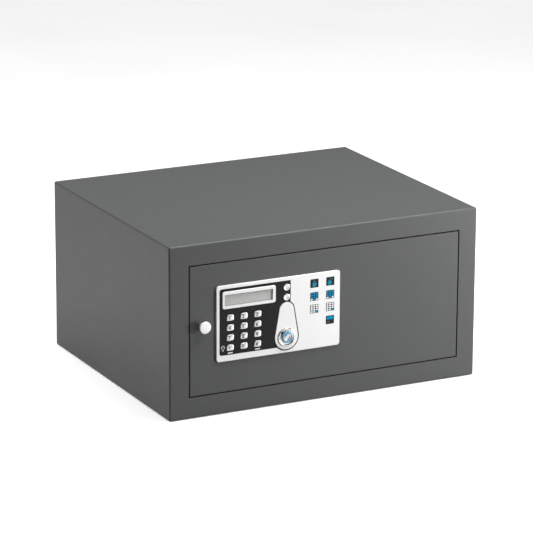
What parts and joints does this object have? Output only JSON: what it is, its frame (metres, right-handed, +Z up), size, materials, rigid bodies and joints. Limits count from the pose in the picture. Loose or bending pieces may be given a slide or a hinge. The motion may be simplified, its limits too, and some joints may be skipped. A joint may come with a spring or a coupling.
{
  "type": "in-room hotel safe",
  "caption": "Low anthracite steel safe for a hotel room, with a flush swing door, a white keypad panel with display and key override, and a round pull knob.",
  "frame": {"origin": "centre of the body's underside", "axes": "+X to the right as one faces the door, +Y to the back of the safe, +Z up"},
  "size_m": [0.43, 0.361, 0.222],
  "materials": {
    "body_coat": "fine matt powder coat, anthracite",
    "cover_coat": "matt black powder coat",
    "floor_felt": "needled felt",
    "zinc_steel": "zinc-plated steel",
    "white_panel": "glossy white ABS",
    "black_insert": "satin black",
    "display_window": "clear window",
    "display_grey": "grey display",
    "circuit_board": "solder mask",
    "key_rubber": "silicone",
    "contact_nickel": "nickel plate",
    "lock_chrome": "polished",
    "lock_blue": "blue",
    "black_plastic": "moulded",
    "pinion_brass": "machined",
    "cell_wrap": "printed sleeve, plain",
    "key_silver": "satin silver paint"
  },
  "bodies": {
    "root": {"body_shell": "body_coat", "back_panel": "body_coat", "floor_mat": "floor_felt", "hinge_block_lower": "zinc_steel", "hinge_block_upper": "zinc_steel", "hinge_pin_lower": "zinc_steel", "hinge_pin_upper": "zinc_steel", "strike_plate": "zinc_steel"},
    "door": {"door_plate": "body_coat", "inner_cover": "cover_coat", "hinge_knuckle_lower": "zinc_steel", "hinge_knuckle_upper": "zinc_steel", "fascia": "white_panel", "keypad_insert": "black_insert", "lcd_bezel": "white_panel", "lcd_window": "display_window", "lcd_module": "display_grey", "main_board": "circuit_board", "key_mat": "key_rubber", "battery_contact_lower": "contact_nickel", "battery_contact_upper": "contact_nickel", "lock_surround": "white_panel", "lock_body": "lock_chrome", "lock_collar": "lock_blue", "lock_nut": "zinc_steel", "pull_knob": "white_panel", "knob_screw": "zinc_steel", "gear_motor": "zinc_steel", "carriage_guide": "black_plastic", "battery_holder": "black_plastic", "battery_1": "cell_wrap", "cover_screw_1": "zinc_steel", "battery_2": "cell_wrap", "cover_screw_2": "zinc_steel", "battery_3": "cell_wrap", "cover_screw_3": "zinc_steel", "battery_4": "cell_wrap", "cover_screw_4": "zinc_steel"},
    "bolts": {"bolt_carriage": "zinc_steel", "bolt_lower": "zinc_steel", "bolt_upper": "zinc_steel"},
    "pinion": {"drive_pinion": "pinion_brass"},
    "lock_core": {"lock_plug": "zinc_steel", "lock_cam": "zinc_steel"},
    "battery_lid": {"battery_lid": "black_plastic"},
    "key_1": {"key_1": "key_silver"},
    "key_2": {"key_2": "key_silver"},
    "key_3": {"key_3": "key_silver"},
    "key_4": {"key_4": "key_silver"},
    "key_5": {"key_5": "key_silver"},
    "key_6": {"key_6": "key_silver"},
    "key_7": {"key_7": "key_silver"},
    "key_8": {"key_8": "key_silver"},
    "key_9": {"key_9": "key_silver"},
    "key_light": {"key_light": "key_silver"},
    "key_0": {"key_0": "key_silver"},
    "key_lock": {"key_lock": "key_silver"}
  },
  "joints": [
    {"name": "door_hinge", "type": "hinge", "parent": "root", "child": "door", "pos_m": [0.1483, -0.167, 0.111], "axis": [0, 0, 1], "range_deg": [0, 100]},
    {"name": "bolt_slide", "type": "slide", "parent": "door", "child": "bolts", "axis": [-1, 0, 0], "range_m": [0, 0.016]},
    {"name": "pinion_turn", "type": "hinge", "parent": "door", "child": "pinion", "pos_m": [-0.09, -0.149, 0.109], "axis": [0, 0, -1], "range_deg": [0, 115]},
    {"name": "override_lock", "type": "hinge", "parent": "door", "child": "lock_core", "pos_m": [-0.0564, -0.176, 0.0888], "axis": [0, 1, 0], "range_deg": [-90, 0]},
    {"name": "battery_lid_slide", "type": "slide", "parent": "door", "child": "battery_lid", "axis": [0, 0, -1], "range_m": [0, 0.02]},
    {"name": "key_1_press", "type": "slide", "parent": "door", "child": "key_1", "axis": [0, 1, 0], "range_m": [0, 0.0008], "stiffness_N_per_m": 400},
    {"name": "key_2_press", "type": "slide", "parent": "door", "child": "key_2", "axis": [0, 1, 0], "range_m": [0, 0.0008], "stiffness_N_per_m": 400},
    {"name": "key_3_press", "type": "slide", "parent": "door", "child": "key_3", "axis": [0, 1, 0], "range_m": [0, 0.0008], "stiffness_N_per_m": 400},
    {"name": "key_4_press", "type": "slide", "parent": "door", "child": "key_4", "axis": [0, 1, 0], "range_m": [0, 0.0008], "stiffness_N_per_m": 400},
    {"name": "key_5_press", "type": "slide", "parent": "door", "child": "key_5", "axis": [0, 1, 0], "range_m": [0, 0.0008], "stiffness_N_per_m": 400},
    {"name": "key_6_press", "type": "slide", "parent": "door", "child": "key_6", "axis": [0, 1, 0], "range_m": [0, 0.0008], "stiffness_N_per_m": 400},
    {"name": "key_7_press", "type": "slide", "parent": "door", "child": "key_7", "axis": [0, 1, 0], "range_m": [0, 0.0008], "stiffness_N_per_m": 400},
    {"name": "key_8_press", "type": "slide", "parent": "door", "child": "key_8", "axis": [0, 1, 0], "range_m": [0, 0.0008], "stiffness_N_per_m": 400},
    {"name": "key_9_press", "type": "slide", "parent": "door", "child": "key_9", "axis": [0, 1, 0], "range_m": [0, 0.0008], "stiffness_N_per_m": 400},
    {"name": "key_light_press", "type": "slide", "parent": "door", "child": "key_light", "axis": [0, 1, 0], "range_m": [0, 0.0008], "stiffness_N_per_m": 400},
    {"name": "key_0_press", "type": "slide", "parent": "door", "child": "key_0", "axis": [0, 1, 0], "range_m": [0, 0.0008], "stiffness_N_per_m": 400},
    {"name": "key_lock_press", "type": "slide", "parent": "door", "child": "key_lock", "axis": [0, 1, 0], "range_m": [0, 0.0008], "stiffness_N_per_m": 400}
  ],
  "couplings": [
    {"joint": "pinion_turn", "follows": "bolt_slide", "rad_per_m": 125}
  ]
}
